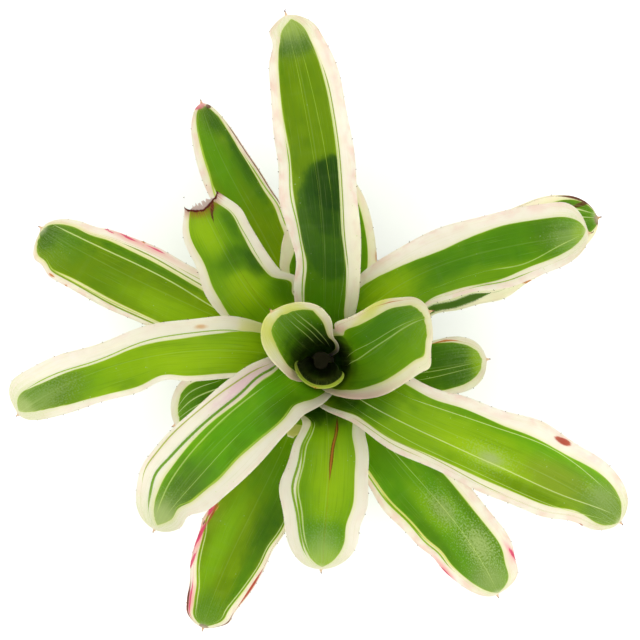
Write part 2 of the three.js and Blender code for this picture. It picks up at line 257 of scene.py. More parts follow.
root_bark = bark("wiry_root_skin", "#a98d63", "#4f3a24", (1, 1, 1))
root_points, root_faces = [], []
for i in range(ROOT_COUNT):
    line, way = smooth_route(root_route(i), ROOT_STEPS)
    length = np.linspace(0, 1, ROOT_STEPS + 1)
    knots = sum(swell * np.sin(often * length + i) for swell, often in ROOT_KNOTS)
    radii = ROOT_RADIUS * (1 - ROOT_TAPER * length + knots)
    line[:, 2] = np.maximum(line[:, 2], radii)
    points, faces = tube(line, way, radii, ROOT_SIDES)
    root_faces += [[len(root_points) + v for v in face] for face in faces]
    root_points += points
make_piece("roots", root_points, root_faces, [root_bark], "stem", "stem")

# ---- Leaves -------------------------------------------------------------------------------------
# Nineteen strap leaves. Each is one fleshy blade whose base clasps the stem as a sheath, so that the
# sheaths stand round each other as a tank for water, and the blades arch out over it.

# From the innermost and youngest to the outermost and oldest. A leaf's form comes first. turn, rise, tip
# and sweep are degrees: the direction in which it leaves the stem, the slope of its blade at the tank and at
# the tip, and how far it has curled sideways halfway along and at the tip. channel is the radius of its
# hollow cross-section. taper is how far the left and the right edge take to round in to the tip, and left
# and right list bulges of the edges, each as where, how far out, and over what length. sheath is the length
# of its clasping base where that isn't the usual one, and torn how deep the bite is in a tip that has died
# back.
# Then come its marks, in millimetres. cream_left, cream_right and cream_tip give the width of the cream
# margin, along each edge as where and how wide, and tip_arc how far from the tip the margin round it starts
# and is full. flesh is the finish of the green, and margin that of the cream. butter is how yellow the cream
# is beside the green, blush how pink it is towards the edge, and frost how silvery the tip, with its scales
# and painted sheen. point gives the finishes of the leaf's stiff point.
# A line runs along the leaf: its finish, the edge it is measured in from or "mid" for the midrib, its width,
# and its distance at points along it. The other marks are a finish with its place (s, and across from the
# midrib), half length and half width: a cloud is soft and a shade sharp, both in the green, a haze is a
# bloom of fine scales on it, a tint is soft and on the margin, and a scar lies on top. Clouds give the
# green's own uneven tone together with painted light and painted shade: painted shade where other leaves
# lie over or close behind a leaf and down in the tank, painted light where light comes through from below.
# A shade is a painted shadow of a leaf that lies close behind, and a haze also carries painted sheen.
LEAVES = {}
PLAIN = dict(  # what a leaf has where it says nothing else
    left=[], right=[], torn=0, flesh="green", margin="cream", butter=0.35, blush=0.3, frost=0.3,
    cream_tip=1.5, tip_arc=(26, 5), point=("tan", "burnt"),
    lines=[], shades=[], clouds=[], tints=[], hazes=[], scars=[],
)
LEAVES["leaf_01"] = dict(
    turn=256, length=58, width=36, rise=86, tip=77, sweep=(0, 0), channel=13, taper=(16, 16), sheath=40,
    cream_left=[(0, 0.2), (48, 0.3), (54, 1.5), (58, 3.5)],
    cream_right=[(0, 0.2), (48, 0.4), (54, 2), (58, 3.8)],
    # Its inner face, down in the tank, is painted shade: a dull dark olive, darker still in its upper part.
    flesh="damp", margin="crescent", blush=0, cream_tip=4.4, tip_arc=(13, 3),
    clouds=[("deep_tank_shade", 52, 0, 14, 60)],
)
LEAVES["leaf_02"] = dict(
    turn=134, length=91, width=49, rise=66, tip=40, sweep=(-1, -10), channel=19, taper=(62, 12),
    left=[(52, 1, 12), (86, 2, 8)], right=[(52, -2, 12), (82, 1, 8)],
    cream_left=[(0, 4), (40, 5), (56, 6.5), (68, 8), (79, 8), (88, 6.5)],
    cream_right=[(0, 2), (20, 2), (51, 3), (63, 4.5), (72, 5.5), (79, 6), (86, 6)],
    margin="ivory", butter=1, blush=0.5, cream_tip=6,
    lines=[
        ("pale", "mid", 0.7, (20, -14), (40, -13), (62, -12), (84, -10)),
        ("pale", "mid", 0.5, (20, -11), (40, -9.6), (62, -9), (84, -7.2)),
        ("pale", "mid", 0.4, (36, -6), (62, -5.6), (82, -4.4)),
    ],
    # Painted shade towards the tank and in it.
    clouds=[("deep", 62, -9, 30, 14), ("deep", 50, -4, 22, 22), ("deep_tank_shade", 42, -4, 22, 26)],
    tints=[("sulphur", 84, 8, 16, 9), ("sulphur", 84, -9, 10, 9), ("blush", 46, 20, 16, 7)],
)
LEAVES["leaf_03"] = dict(
    turn=6, length=110, width=50, rise=52, tip=18, sweep=(38, 13), channel=30, taper=(46, 24),
    left=[(66, 3, 10), (102, -3, 5)], right=[(94, 2, 5), (102, -3, 5)],
    cream_left=[(0, 4), (47, 5.5), (79, 7.5), (90, 7.5), (98, 6), (106, 4)],
    cream_right=[(0, 3), (37, 4), (51, 5), (60, 6.5), (81, 7.5), (92, 7), (104, 5)],
    margin="ivory", butter=0.7, blush=0.7, cream_tip=4,
    lines=[
        ("pale", "mid", 0.7, (36, -2.5), (50, 0), (67, 2), (88, 0), (103, -2), (109, -3)),
        ("pale", "mid", 0.4, (34, 1.5), (60, 6), (80, 4), (104, -1)),
        ("brown", "left", 1.1, (91, 1.8), (95, 2.6), (99, 2), (103, 1.4)),
    ],
    # The cloud at its base is painted shade in the tank.
    clouds=[("dark", 78, 7, 34, 11), ("fresh", 48, -12, 16, 7), ("deep_tank_shade", 32, 2, 17, 24)],
    tints=[
        ("blush", 54, -22, 16, 4), ("sulphur", 38, 16, 10, 7), ("blush", 60, 22, 12, 4),
        ("sulphur", 92, 19, 16, 4),
    ],
)
LEAVES["leaf_04"] = dict(
    turn=212.5, length=166, width=46, rise=46, tip=-32, sweep=(13, 30), channel=40, taper=(80, 47),
    left=[(56, -1.5, 10), (114, 1.5, 14), (147, -5.5, 6)], right=[(67, 1.5, 10), (138, 2, 8)],
    cream_left=[
        (0, 4), (52, 7), (73, 6.5), (92, 8.5), (107, 10), (122, 9), (137, 8.5), (147, 6.5), (160, 7),
    ],
    cream_right=[(0, 6), (55, 9.5), (74, 12), (108, 12), (125, 12.5), (138, 13.5), (150, 11), (160, 10)],
    flesh="cool", butter=0.5, blush=0.35, frost=1.1,
    lines=[
        ("dark", "right", 1.5, (46, 7), (54, 7), (80, 9.7), (107, 9.6), (130, 8.8), (141, 8.4), (158, 7)),
        ("olive", "right", 0.8, (56, 4), (66, 4), (88, 2.8), (114, 1.7), (135, 2.1), (146, 2.6)),
        ("lime", "left", 0.9, (56, 7.8), (73, 7.3), (92, 9.3), (107, 10.8), (122, 9.8), (137, 9.2), (150, 7)),
        ("pale", "mid", 0.7, (64, -7), (108, -7.4), (140, -5.7), (158, -2.5)),
        ("pale", "mid", 0.3, (90, 4), (125, 4.5), (156, 2)),
    ],
    clouds=[("deep", 62, 9, 18, 8), ("grey_scales_and_sheen", 142, 3, 24, 13), ("frosted", 157, 0, 9, 8)],
    tints=[("lilac", 72, -15, 26, 5.5)], hazes=[("silver", 154, 0, 12, 9)],
)
LEAVES["leaf_05"] = dict(
    turn=86, length=224, width=39, rise=44, tip=-16, sweep=(11, 19), channel=44, taper=(78, 50),
    left=[(93, -2.5, 14), (132, 2.5, 14), (209, -2.5, 6), (218, 5, 4)],
    right=[(84, 1.5, 20), (216, 1.5, 6)],
    cream_left=[
        (0, 4), (63, 5), (86, 5.5), (99, 5), (117, 6.5), (128, 7.5), (149, 6.5), (183, 5), (201, 4.4),
        (209, 3.2), (214, 5), (218, 7.5), (224, 8),
    ],
    cream_right=[(0, 4), (53, 5.5), (80, 7.5), (103, 9), (136, 8.5), (166, 7.5), (191, 7.5), (221, 5)],
    flesh="moss", blush=1, frost=0.9,
    lines=[
        ("green", "left", 0.7, (60, 4), (84, 4), (93, 3.7), (117, 5.6), (140, 6), (162, 5.2)),
        ("moss", "right", 0.6, (84, 6.6), (104, 8.1), (130, 7.8), (168, 6.7), (196, 6.6)),
        ("stripe", "right", 0.7, (96, 9), (110, 9.4), (130, 9), (168, 7.9), (196, 7.8)),
        ("lime", "mid", 0.25, (126, -5.6), (150, -5), (208, -3)),
        ("lime", "mid", 0.2, (136, 1), (160, 1.5), (212, 1)),
    ],
    # Painted shadow of leaf_13, which lies close behind: darkest towards its rounded top, lighter down to the
    # base.
    shades=[("shaded", 114, -4, 35, 18), ("dim", 127, -6, 22, 14), ("gloom", 134, -7, 14, 11)],
    # Painted shade near the tip and towards the base, with the green's own tone.
    clouds=[("shaded", 207, 1, 6, 12), ("deep", 82, 0, 22, 22), ("dark", 54, 0, 20, 22)],
    tints=[("ivory", 96, -20, 34, 9)], hazes=[("silver", 216, 0, 10, 8)],
)
LEAVES["leaf_06"] = dict(
    turn=329, length=215, width=44, rise=40, tip=-28, sweep=(8, -9), channel=50, taper=(44, 80),
    left=[(95, -2, 14), (151, 2.5, 14)], right=[(81, 1.5, 14), (189, -3.5, 12)],
    cream_left=[(0, 4), (70, 5), (120, 6.5), (136, 8), (151, 9), (166, 8), (182, 6.5), (205, 5)],
    cream_right=[(0, 3), (60, 4), (120, 6), (160, 6), (194, 5), (208, 3)],
    flesh="fresh", butter=0.2, blush=0.8, frost=1, cream_tip=0.9,
    lines=[
        ("olive", "right", 0.5, (70, 5.6), (87, 5.4), (111, 4.8), (134, 3.6), (150, 3)),
        ("olive", "right", 0.4, (54, 2), (80, 3), (104, 2.6)),
        ("stripe", "mid", 0.55, (46, -5.6), (100, -5.6), (137, -6.2), (175, -5.4), (208, 1)),
        ("pale", "mid", 0.3, (54, -11), (118, -13.5), (182, -11), (206, -4)),
        ("stripe", "mid", 0.4, (80, 8), (129, 12), (160, 14), (196, 9)),
    ],
    clouds=[
        ("shaded", 42, 9, 22, 13), ("gloom", 36, 8, 20, 12), ("dark", 110, 17, 74, 7),
        ("bright", 128, -4, 34, 6), ("fresh", 80, -4, 22, 6), ("cool", 172, 12, 30, 7),
        ("hazy", 172, 0, 22, 11), ("grey_scales_and_sheen", 202, 1, 18, 14), ("moss", 160, -12, 30, 4),
        ("frosted", 134, -4, 6, 3), ("deep", 60, -2, 14, 14), ("gloom", 44, -9, 15, 11),
    ],
    hazes=[("silver", 194, 5, 9, 5), ("silver", 134, -4, 12, 6)],
    scars=[("red", 163, 20.5, 4.5, 1.9), ("red", 194, -14, 2, 0.8)],
)
LEAVES["leaf_07"] = dict(
    turn=169, length=203, width=34, rise=38, tip=-34, sweep=(24, 47), channel=46, taper=(80, 16),
    left=[(115, -3, 10)], right=[(75, 3, 24), (145, -3.5, 20)],
    cream_left=[(0, 2), (80, 2.5), (150, 3), (190, 5), (200, 5)],
    cream_right=[(0, 4), (58, 5), (82, 9), (134, 9), (156, 9.5), (180, 10), (198, 7)],
    flesh="fresh", butter=0.1, frost=1.1,
    lines=[("green", "right", 0.6, (66, 7), (90, 7.6), (115, 7.4), (140, 7.8), (165, 8.6), (190, 8.6))],
    clouds=[
        ("bright", 98, 2, 26, 9), ("bright", 68, -5, 14, 6), ("green", 160, 2, 16, 12),
        ("grey_scales_and_sheen", 178, 0, 22, 14), ("deep", 184, -5, 14, 7), ("deep", 50, 8, 12, 7),
        ("frosted", 197, 0, 6, 8),
    ],
    tints=[("tan", 92, -13, 3.5, 1.3), ("butter", 62, -13, 12, 6)], hazes=[("silver", 180, 0, 16, 7)],
)
LEAVES["leaf_08"] = dict(
    turn=50.5, length=190, width=38, rise=34, tip=-14, sweep=(-33, -41), channel=46, taper=(18, 48),
    right=[(98, -1.5, 8), (140, 2, 14)],
    cream_left=[
        (0, 4), (66, 5), (90, 9), (112, 11), (134, 8.5), (144, 7.5), (165, 7.5), (182, 7), (189, 5),
    ],
    cream_right=[(0, 2), (96, 2), (106, 3.5), (127, 3.5), (150, 6), (173, 6), (188, 6)],
    flesh="dark", butter=0.2, blush=0.8, frost=0.7,
    lines=[
        ("pale", "mid", 0.6, (132, -10), (153, -10.5), (174, -3.9), (187, 0)),
        ("green", "right", 0.6, (118, 2), (140, 3.4), (160, 3.6)),
    ],
    clouds=[
        ("bright", 76, -2, 22, 13), ("gloom", 44, -6, 12, 10), ("green", 128, -12, 42, 5),
        ("deep", 170, 3, 12, 10), ("fresh", 186, 0, 5, 8),
    ],
    hazes=[("silver", 178, 0, 9, 6)],
)
LEAVES["leaf_09"] = dict(
    turn=276, length=133, width=46, rise=34, tip=-28, sweep=(-11, -6), channel=55, taper=(43, 45),
    left=[(69, 1, 8), (105, -2.5, 8)], right=[(40, -18, 10), (54, -3, 8), (88, 3, 10)],
    cream_left=[(0, 4), (54, 6.5), (82, 7.5), (97, 7.5), (114, 7), (127, 6)],
    cream_right=[(0, 4), (44, 4.5), (56, 5.5), (66, 6), (87, 9), (102, 8.5), (118, 8), (130, 7)],
    butter=0.3, frost=0.8,
    lines=[
        ("stripe", "right", 0.8, (44, 6.4), (56, 7), (75, 8.6), (95, 10.6), (110, 10), (124, 9)),
        ("green", "right", 1.4, (44, 4.6), (56, 4.8), (75, 5.8), (95, 7.4), (110, 7.6), (126, 6)),
        ("burnt", "mid", 1.9, (42, 5.8), (49, 5.4), (57, 4.2), (63, 2.6), (71, 1.6), (84, 1)),
        ("brown", "mid", 1.1, (46, 5.8), (49, 5.4), (57, 4.2), (63, 2.6), (71, 1.6), (84, 1)),
    ],
    clouds=[
        ("bright", 79, 2, 25, 12), ("gloom", 35, 0, 17, 23), ("dark", 112, 0, 8, 24),
        ("fresh", 129, 0, 6, 12),
    ],
    hazes=[("silver", 120, 0, 13, 9)],
)
LEAVES["leaf_10"] = dict(
    turn=137, length=139, width=44, rise=31, tip=-10, sweep=(-18, -20), channel=48, taper=(80, 80), torn=6,
    left=[(99, -2.5, 10), (130, -5, 9)], right=[(64, 6.5, 6), (117, 3, 8)],
    cream_left=[(0, 2), (67, 3), (81, 5), (92, 5), (101, 4.5), (126, 3)],
    cream_right=[(0, 2), (55, 2), (71, 5.5), (91, 7), (107, 5.5), (126, 6)],
    butter=0.5,
    lines=[
        ("green", "right", 0.4, (80, 5.8), (88, 5.6), (104, 4.6), (122, 5)),
        ("burnt", "mid", 3.4, (115, -2.2), (119, -3), (124, -5.5), (130, -9)),
    ],
    clouds=[
        ("bright", 75, 2, 12, 12), ("bright", 76, 0, 8, 6), ("deep", 94, -4, 7, 13),
        ("shaded", 86, -13, 10, 6), ("bright", 112, 4, 14, 8), ("deep", 112, -11, 12, 4),
        ("deep", 60, -16, 12, 7),
    ],
)
LEAVES["leaf_11"] = dict(
    turn=247, length=53, width=34, rise=22, tip=8, sweep=(2, 4), channel=50, taper=(30, 30),
    cream_left=[(0, 3), (36, 8)], cream_right=[(0, 3), (36, 8)],
    margin="butter", cream_tip=8, point=("butter", "cream"),
)
LEAVES["leaf_12"] = dict(
    turn=355, length=103, width=31, rise=24, tip=-14, sweep=(14, 12), channel=52, taper=(21, 19),
    cream_left=[(0, 1), (75, 1.3), (85, 2.7), (100, 5)], cream_right=[(0, 3), (83, 3), (100, 5)],
    flesh="dark", blush=0.6, frost=0.6, cream_tip=3,
    lines=[
        ("brown", "left", 1.2, (72, 1.6), (82, 1.4), (92, 2.6)),
        ("pale", "mid", 0.35, (60, -2), (98, -1)),
        ("pale", "mid", 0.35, (60, -6), (97, -3)),
    ],
    clouds=[("shaded", 80, -2, 26, 16), ("fresh", 100, 0, 7, 14)],
)
LEAVES["leaf_13"] = dict(
    turn=84, length=122, width=58, rise=25, tip=-10, sweep=(10, -2), channel=60, taper=(66, 80),
    left=[(65, 2, 6), (88, -3, 10)],
    cream_left=[(0, 3), (60, 4), (73, 7), (118, 6)], cream_right=[(0, 4), (63, 4.5), (89, 4.5), (118, 3)],
    flesh="dark", margin="ivory", blush=0.6,
    clouds=[("deep", 66, 0, 34, 28)], scars=[("brown", 70, -25.5, 4, 0.6), ("red", 112, -14.5, 1.5, 0.8)],
)
LEAVES["leaf_14"] = dict(
    turn=307, length=172, width=44, rise=22, tip=-24, sweep=(3, -10), channel=56, taper=(22, 80),
    left=[(158, -3, 8)], right=[(92, 1.5, 12), (130, -2, 8)],
    cream_left=[(0, 4), (70, 5), (120, 6.5), (168, 5.5)],
    cream_right=[(0, 3), (80, 4), (130, 5), (168, 4.5)],
    flesh="dark", blush=1.1, frost=0.6,
    lines=[
        ("butter", "right", 1.1, (50, 4), (74, 4), (100, 6.2), (129, 5), (146, 4.6)),
        ("green", "right", 0.9, (50, 2.5), (74, 2.5), (100, 4.8), (129, 3.5), (144, 3.5)),
        ("pale", "mid", 0.3, (60, 2), (120, 3), (168, 1)),
    ],
    clouds=[
        ("deep", 58, 0, 22, 18), ("green", 108, -3, 20, 5), ("deep", 120, 14, 50, 4),
        ("grey_scales_and_sheen", 160, 0, 14, 10), ("deep", 124, -12, 30, 4), ("grey_scales_and_sheen", 140, 6, 12, 7),
        ("grey_scales_and_sheen", 112, 2, 9, 5),
    ],
    tints=[("pink", 146, -17.5, 17, 1.6), ("pink", 154, 18.4, 8, 1.5)],
    hazes=[
        ("silver", 142, 6, 16, 9), ("silver", 140, 6, 11, 7), ("silver", 139, 6, 8, 5.5),
        ("silver", 114, 3, 14, 7), ("silver", 113, 3, 9, 5), ("silver", 162, 2, 12, 11),
    ],
    scars=[("magenta", 143, -18, 7, 0.9), ("magenta", 154, 18.6, 4, 0.9), ("tan", 62, -19, 6, 0.5)],
)
LEAVES["leaf_15"] = dict(
    turn=156, length=179, width=42, rise=20, tip=-14, sweep=(-2, -7), channel=56, taper=(15, 75),
    left=[(168, -3.5, 5)], right=[(153, -2, 8)],
    cream_left=[(0, 4), (80, 4), (125, 5), (150, 5.2), (160, 4.2), (168, 2.6), (176, 3.5)],
    cream_right=[(0, 7), (75, 9.5), (104, 8), (125, 7.2), (145, 5.6), (160, 4), (176, 2.5)],
    flesh="moss", butter=0.8, blush=0.8, frost=0.5,
    lines=[
        ("moss", "left", 0.9, (88, 2.4), (114, 2.6), (150, 3.4), (172, 3)),
        ("lime", "left", 0.5, (104, 3.8), (130, 4), (172, 4)),
        ("stripe", "mid", 0.7, (50, -2), (74, -4.2), (102, -7.4), (122, -7.8), (138, -7.2), (176, -5)),
        ("moss", "right", 0.7, (66, 7.6), (84, 6.8), (104, 6), (136, 4.8)),
        ("olive", "right", 0.4, (68, 4.6), (86, 4.2), (104, 4)),
    ],
    clouds=[
        ("fresh", 92, 7, 34, 8), ("deep", 166, -3, 18, 12), ("shaded", 176, -1, 9, 12),
        ("deep", 110, -11, 60, 3.4),
    ],
    tints=[("pink", 130, -19.2, 24, 1), ("blush", 130, -18.6, 34, 2)],
    scars=[
        ("magenta", 146, -17.4, 8, 0.5), ("magenta", 133, -19.2, 6, 0.6), ("magenta", 116, -19.8, 7, 0.5),
        ("brown", 124, -20.6, 1.5, 0.7), ("brown", 160, 19.6, 2.5, 0.7), ("brown", 150, 20.6, 1.6, 0.6),
    ],
)
LEAVES["leaf_16"] = dict(
    turn=36, length=180, width=41, rise=17, tip=-12, sweep=(-12, -19), channel=60, taper=(34, 64),
    right=[(73, -4, 10), (114, 4, 12)],
    cream_left=[(0, 4), (90, 5), (155, 4), (168, 2), (180, 1)],
    cream_right=[(0, 7), (76, 7.5), (115, 8.5), (160, 7), (172, 3.5), (180, 1)],
    flesh="dark", margin="ivory", butter=0.3, blush=0.4, cream_tip=0.6,
    lines=[
        # The strip of it that shows beside leaf_08 is painted in shade.
        ("shaded", "right", 4.4, (50, 2.8), (72, 3), (88, 3.6), (108, 4.8)),
        ("stripe", "mid", 1.1, (146, 11), (168, 9), (180, 2)),
        ("stripe", "mid", 0.8, (146, 5), (168, 4), (180, 0)),
        ("burnt", "left", 1.7, (160, 0.4), (172, 0.6), (182, 0.3)),
    ],
    # Its whole green is painted shade, as it lies under leaf_08.
    clouds=[("gloom", 100, 0, 70, 40)],
    scars=[("burnt", 180, -1, 2.6, 4), ("burnt", 173, 10, 6, 1.4), ("brown", 129, -20.6, 3, 0.8)],
)
LEAVES["leaf_17"] = dict(
    turn=246, length=167, width=44, rise=16, tip=-18, sweep=(-2, 8), channel=56, taper=(80, 74),
    left=[(108, -1.5, 8), (160, 5.5, 6)], right=[(108, 2, 6), (144, -2, 8), (162, 3.5, 5)],
    cream_left=[(0, 1.5), (92, 1.6), (114, 2.4), (132, 3.4), (150, 3.4), (162, 3.4)],
    cream_right=[(0, 2), (90, 1.2), (101, 1), (116, 2), (134, 3.4), (156, 3.8), (163, 3)],
    flesh="moss", blush=0.5, frost=0.4,
    lines=[
        ("stripe", "right", 0.6, (94, 2), (101, 2.2), (116, 3.6), (134, 5), (156, 5.6), (164, 4.6)),
        ("stripe", "left", 0.6, (86, 2.6), (114, 3.6), (132, 4.6), (150, 5), (162, 5)),
        ("red", "left", 1.3, (118, 0.6), (127, 0.9), (136, 0.9), (148, 0.6)),
        ("burnt", "right", 1, (140, 0.4), (156, 0.5), (168, 0.4)),
        ("magenta", "right", 0.9, (138, 1.7), (156, 1.7), (166, 1.3)),
        ("burnt", "left", 0.9, (150, 0.4), (160, 0.5), (168, 0.4)),
    ],
    clouds=[
        ("green", 118, -8, 34, 6), ("shaded", 84, 13, 40, 9), ("deep", 60, 4, 28, 20),
        ("deep", 138, 12, 26, 4), ("deep", 158, 0, 12, 12),
    ],
    tints=[("pink", 112, -20.4, 24, 3), ("pink", 156, -12, 12, 3)],
    scars=[
        ("magenta", 101, -21.6, 7, 1.3), ("red", 105, -19.8, 8, 0.8), ("tan", 101, -18.8, 5, 0.5),
        ("magenta", 117, -20.6, 9, 1), ("magenta", 132, -18.4, 7, 0.7), ("burnt", 110, -21.8, 3, 0.5),
        ("burnt", 166, 0, 1.6, 3),
    ],
)
LEAVES["leaf_18"] = dict(
    turn=113, length=163, width=33, rise=14, tip=-14, sweep=(6, -9), channel=56, taper=(80, 80),
    right=[(91, 1.5, 8)],
    cream_left=[(0, 3), (110, 4), (145, 3.5), (158, 2)],
    cream_right=[(0, 4), (80, 4), (120, 3), (150, 1.6), (160, 1)],
    flesh="moss", blush=0.9,
    lines=[
        ("lime", "left", 1, (90, 3), (113, 2.9), (124, 4.6), (135, 4.6), (152, 3.6)),
        ("green", "right", 0.7, (66, 1.6), (86, 1.6), (116, 2.3), (126, 2.2)),
        ("burnt", "right", 0.5, (84, 0.3), (120, 0.4), (150, 0.3)),
    ],
    clouds=[
        ("deep", 124, -9, 34, 6), ("shaded", 130, -11, 34, 4), ("dark", 130, 3, 30, 7),
        ("shaded", 154, -5, 12, 7),
    ],
    scars=[("magenta", 162, 2, 2.2, 4), ("burnt", 160.5, -3.5, 1.8, 1.6), ("brown", 128, 17, 1, 0.7)],
)
LEAVES["leaf_19"] = dict(
    turn=202, length=90, width=40, rise=11, tip=-18, sweep=(2, 8), channel=60, taper=(30, 30),
    right=[(76, 3, 12)],
    cream_left=[(0, 3), (84, 6)], cream_right=[(0, 2), (70, 4), (84, 5)],
    flesh="dark", blush=0.8, cream_tip=4,
    lines=[
        ("stripe", "mid", 0.5, (52, -4), (76, -4), (88, -2)),
        ("stripe", "mid", 0.7, (52, -8), (76, -8), (88, -4)),
        ("stripe", "mid", 0.5, (54, -12), (76, -12), (87, -6)),
    ],
    clouds=[("shaded", 56, 0, 22, 20)],
)

STEM_CLEARANCE = 1
BASE_THICKNESS = 1.1
MIDRIB_THICKNESS = 1.0
EDGE_THICKNESS = 0.65
TIP_POINT = 2.5  # length of the stiff point

# What changes steadily with a leaf's age is given for the youngest leaf and for the oldest.
PLACE = (11, 90)  # where on the stem's dome it grows, in degrees down from the top
CROWDING = 0.25  # how much closer together the older leaves grow than the younger
SHEATH = (48, 50)  # length of the clasping base
LEAVING = (80, 34)  # slope at which the sheath leaves the stem
WALL = (83, 58)  # slope of the sheath higher up, where it is a wall of the tank

# Where one form turns into the next along a leaf, as parts of the sheath's length.
TURNING_UP = (0, 0.45)  # the midrib, from leaving the stem to the wall of the tank
ARCHING_OUT = (0.7, 1.4)  # the midrib, from the wall to the blade
NARROWING = (0.4, 1.25)  # the width, from the sheath's to the blade's
FREEING = (0.6, 1.4)  # the section, from round the stem to the blade's own channel

CLASP = math.radians(105)  # half of the angle that a sheath wraps round the stem
CLASP_BLEND = 3  # how sharply the clasping part gives way to the full width
SHEATH_SPREAD = 0.8  # a wide sheath's half-width, as a part of the blade's width
BLADE_NECK = 0.8  # width where the blade leaves the tank, as a part of its full width
FULL_WIDTH = 0.6  # how far along the blade it is widest
TIP_ROUNDNESS = 2.3
ARCH = 1.2  # above 1, the blade bends down more towards its tip
FLATTENING = 1.5  # how much the channel opens out from the tank to the tip
TIP_LOSS = 9  # length that a torn leaf has lost
BITE_SHAPE = 0.7  # below 1, the bite is blunt
POINT_SLIMNESS = 0.15  # half-width at the very end of the stiff point
POINT_START = 1  # how far before the leaf's round end the point shows
POINT_SHARE = 0.6  # how much finer the point is than the leaf's own form allows for
RUFFLE = 1.2  # how far the edges wave up and down
RUFFLE_LENGTH = 42
RUFFLE_SHIFT = (2.4, 2.1)  # of the waves from one leaf to the next, and on its two edges
RUFFLE_INWARD = 3  # how fast the waves die out towards the midrib
RUFFLE_END = 30  # length over which they die out towards the tip
STEP = 1  # spacing of the points that the midrib is summed over


def mix(a, b, share):
    return a + (b - a) * share


def smooth(x, low, high):
    share = np.clip((x - low) / (high - low), 0, 1)
    return share * share * (3 - 2 * share)


def vectors(x, y, z):
    return np.stack(np.broadcast_arrays(x, y, z), -1)


